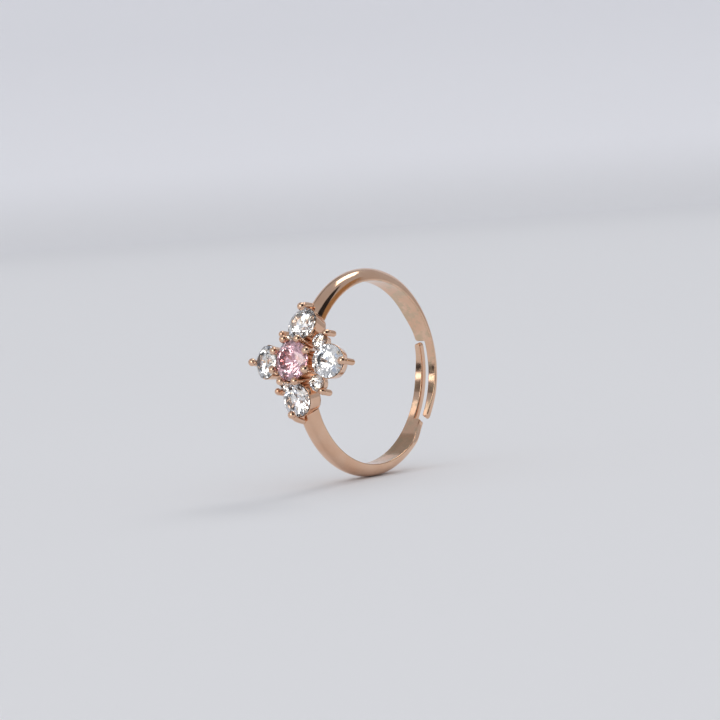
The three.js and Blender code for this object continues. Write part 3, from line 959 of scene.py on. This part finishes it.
class RING_OT_stones(bpy.types.Operator):
    """Give the cut stones their clear and pink bodies"""

    bl_idname = "ring.stones"
    bl_label = "Stones"

    def execute(self, context):
        look = settings("ring_finish")
        clear = stone_material("clear stone", look.clear, painted_fire=0.8, milk=0.02)
        pink = stone_material("pink stone", look.pink, painted_fire=0.2, milk=0.1)
        for name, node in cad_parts.items():
            if name.endswith("_stone"):
                body = pink if name == "centre_stone" else clear
                node.data.materials.clear()
                node.data.materials.append(body)
        return {"FINISHED"}


# ---- stage


# The stones' own lights, as a turn and a rise in degrees each. They show only through the stones.
STONE_LIGHTS = ((-38, 34), (14, 60), (-78, 50), (40, 14), (-14, 8), (-60, 6), (80, 40))
WARM = (1, 0.95, 0.87)
BLACK = (0.012, 0.011, 0.012)


def cove_surface(depth, width, height, bend, ground):
    """A floor that turns up into a wall behind: a straight run, a quarter circle and a straight
    rise, carried along a straight line."""
    turn = np.radians(np.linspace(-90, 0, 25))
    y = np.concatenate([[-depth], bend * np.cos(turn) + depth - bend, [depth]])
    z = np.concatenate([[0], bend * np.sin(turn) + bend, [height]]) + ground
    x = np.linspace(-width, width, 9)
    rows, columns = len(x), len(y)
    points = np.stack(
        [np.repeat(x[:, None], columns, 1), np.tile(y, (rows, 1)), np.tile(z, (rows, 1))], -1
    )
    return points, grid_quads(rows, columns, False, False)


def floor_material():
    """Matt pale paper, a little cloudy, and paler up the wall."""
    stage = settings("ring_stage")
    material, start, place = new_material("pale paper")
    height = place.add("ShaderNodeSeparateXYZ", {}, {"Vector": place}, output="Z")
    rise = height.above(0.02, 0.3)
    cloud = noise(place, 0.05, detail=2.0)
    shade = (rise + cloud * 0.02).mixed(rgba(stage.floor), rgba(stage.backdrop))
    grain = noise(place, 0.0004, detail=2.0)
    bump = start.add(
        "ShaderNodeBump", {}, {"Strength": 0.1, "Distance": 0.00002, "Height": grain}
    )
    roughness = 0.75 + cloud * 0.1
    finish_material(start, {"Base Color": shade, "Roughness": roughness, "Normal": bump})
    return material


def stage_piece(name, points, quads, material):
    """A sheet that belongs to the stage."""
    mesh = bpy.data.meshes.new(name)
    mesh.from_pydata(points.reshape(-1, 3).tolist(), [], quads.tolist())
    mesh.materials.append(material)
    made = bpy.data.objects.new(name, mesh)
    bpy.context.scene.collection.objects.link(made)
    return made


def polar(turn, rise, far):
    """A place at a distance from the ring, by its turn from the camera's side, positive to the
    right, and its rise above level, both in degrees."""
    turn, rise = settings("ring_stage").azimuth + math.radians(turn), math.radians(rise)
    level = math.cos(rise)
    return far * Vector((math.sin(turn) * level, -math.cos(turn) * level, math.sin(rise)))


def new_light(name, kind, energy):
    """A light of a kind, in the scene."""
    data = bpy.data.lights.new(name, kind)
    data.energy = energy
    made = bpy.data.objects.new(name, data)
    bpy.context.scene.collection.objects.link(made)
    return made


def softbox(name, place, size, brightness, tint=(1, 1, 1)):
    """A soft oblong light that faces the ring and shows only in what is polished or clear. Its
    power is its brightness times pi and its area. Sizes are in metres."""
    made = new_light(name, "AREA", brightness * math.pi * size[0] * size[1])
    made.data.shape = "RECTANGLE"
    made.data.size, made.data.size_y = size
    made.data.color = tint
    made.location = place
    made.rotation_euler = (-place).to_track_quat("-Z", "Y").to_euler()
    made.visible_diffuse = False
    return made


def skylight(name, place, energy, spread):
    """A broad far light from the direction of a place, which doesn't show in what is polished or
    clear. Its spread is in degrees."""
    made = new_light(name, "SUN", energy)
    made.data.angle = math.radians(spread)
    made.rotation_euler = place.to_track_quat("Z", "Y").to_euler()
    made.visible_glossy = False
    made.visible_transmission = False


def card(name, place, size, shade):
    """A plain studio card that faces the ring and shows only in what is polished. It is a sheet
    whose sides come forward by a share of its width times the square of the way out to them."""
    w, h = size
    rows, columns, curve = 9, 5, 0.04
    u, v = np.meshgrid(np.linspace(-1, 1, rows), np.linspace(-1, 1, columns), indexing="ij")
    local = np.stack([u * w / 2, v * h / 2, curve * w * (u**2)], -1)
    turn = np.array((-place).to_track_quat("Z", "Y").to_matrix())
    points = local @ turn.T + np.array(place)
    quads = grid_quads(rows, columns, False, False)
    material, start, _ = new_material(name)
    finish_material(start, {"Base Color": rgba(shade), "Roughness": 0.8})
    made = stage_piece(name, points, quads, material)
    made.visible_diffuse = False
    made.visible_transmission = False
    made.visible_shadow = False


class RING_OT_stage(bpy.types.Operator):
    """Lay the floor, hang the lights and set the camera"""

    bl_idname = "ring.stage"
    bl_label = "Stage"

    def execute(self, context):
        stage = settings("ring_stage")
        self.lay_floor(stage)
        self.light_room(context)
        self.set_camera(context, stage)
        self.hang_lights()
        self.place_cards()
        context.scene.view_settings.view_transform = "Standard"
        return {"FINISHED"}

    def lay_floor(self, stage):
        """The floor with the wall behind it, turned to face the camera. Sizes are in metres."""
        ground = CAD_BOX[0][2]
        points, quads = cove_surface(depth=9.0, width=9.0, height=6.0, bend=0.8, ground=ground)
        turn = np.array(Matrix.Rotation(stage.azimuth, 3, "Z"))
        floor = stage_piece("floor", points @ turn.T, quads, floor_material())
        floor.data.shade_smooth()

    def light_room(self, context):
        """The room's own even light."""
        world = bpy.data.worlds.new("studio")
        world.use_nodes = True
        background = world.node_tree.nodes["Background"].inputs
        background["Color"].default_value = (0.80, 0.82, 0.87, 1)
        background["Strength"].default_value = 0.56
        context.scene.world = world

    def set_camera(self, context, stage):
        """The camera at its turn, elevation and roll, aimed beside the ring's centre."""
        a, e, r = stage.azimuth, stage.elevation, stage.roll
        level = Vector((math.cos(a), math.sin(a), 0))
        ahead = Vector((-math.sin(a) * math.cos(e), math.cos(a) * math.cos(e), -math.sin(e)))
        above = Vector((-math.sin(a) * math.sin(e), math.cos(a) * math.sin(e), math.cos(e)))
        right = math.cos(r) * level + math.sin(r) * above
        up = -math.sin(r) * level + math.cos(r) * above
        place = -stage.across * right + stage.aim_drop * up - stage.distance * ahead
        data = bpy.data.cameras.new("camera")
        data.lens = stage.scale * stage.distance * 1000 / FRAME_PARTS * data.sensor_width
        data.clip_start = 0.005
        data.clip_end = 20
        camera = bpy.data.objects.new("camera", data)
        turn = Matrix((right, up, -ahead)).transposed().to_4x4()
        camera.matrix_world = Matrix.Translation(place) @ turn
        context.scene.collection.objects.link(camera)
        context.scene.camera = camera

    def hang_lights(self):
        """The broad lights for what is matt, and softboxes for the metal and the stones."""
        skylight("window light", polar(153, 36, 1), energy=0.75, spread=26)
        skylight("ceiling light", polar(0, 60, 1), energy=0.95, spread=130)
        softbox("key softbox", polar(131, 63, 0.35), (0.15, 0.15), 3.2, WARM)
        softbox("left softbox", polar(-100, 38, 0.40), (0.16, 0.08), 0.8, WARM)
        softbox("low left softbox", polar(-78, 9, 0.30), (0.20, 0.028), 1.9, WARM)
        softbox("bead softbox", polar(-25, 20, 0.34), (0.20, 0.20), 2.6, WARM)
        for turn, rise in STONE_LIGHTS:
            stone_light = softbox("stone light", polar(turn, rise, 0.34), (0.085, 0.085), 3.2)
            stone_light.visible_glossy = False

    def place_cards(self):
        """The cards that the metal's darker parts reflect."""
        card("dark card right", polar(49, 26, 0.17), (0.14, 0.20), BLACK)
        card("dark card front", polar(12, 10, 0.50), (0.24, 0.30), BLACK)
        card("dark bar left", polar(-78, -0.8, 0.15), (0.10, 0.025), BLACK)
        card("grey card left", polar(-78, 19, 0.34), (0.24, 0.06), (0.25, 0.24, 0.22))
        card("grey card back", polar(-155, 44, 0.40), (0.20, 0.14), (0.42, 0.40, 0.37))
        card("brown card right", polar(84, 8, 0.13), (0.055, 0.07), (0.50, 0.30, 0.13))


class RING_PT_panel(bpy.types.Panel):
    """Sizes, finishes and making of the ring"""

    bl_idname = "RING_PT_panel"
    bl_label = "Cocktail Ring"
    bl_space_type = "VIEW_3D"
    bl_region_type = "UI"
    bl_category = "Ring"

    def draw(self, context):
        for name in SETTINGS:
            group = getattr(context.scene, name)
            box = self.layout.box()
            for key in group.bl_rna.properties.keys():
                if key not in ("rna_type", "name"):
                    box.prop(group, key)
        for operator in OPERATORS:
            self.layout.operator(operator.bl_idname)


OPERATORS = (
    RING_OT_band,
    RING_OT_cups,
    RING_OT_claws,
    RING_OT_prongs,
    RING_OT_stones,
    RING_OT_stage,
)
CLASSES = (*SETTINGS.values(), *OPERATORS, RING_PT_panel)


def register():
    for made in CLASSES:
        bpy.utils.register_class(made)
    for name, group in SETTINGS.items():
        setattr(bpy.types.Scene, name, bpy.props.PointerProperty(type=group))


def unregister():
    for name in SETTINGS:
        delattr(bpy.types.Scene, name)
    for made in reversed(CLASSES):
        bpy.utils.unregister_class(made)


def main():
    """Registers the classes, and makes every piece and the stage."""
    register()
    bpy.ops.ring.band()
    bpy.ops.ring.cups()
    bpy.ops.ring.claws()
    bpy.ops.ring.prongs()
    bpy.ops.ring.stones()
    bpy.ops.ring.stage()


if __name__ == "__main__":
    main()
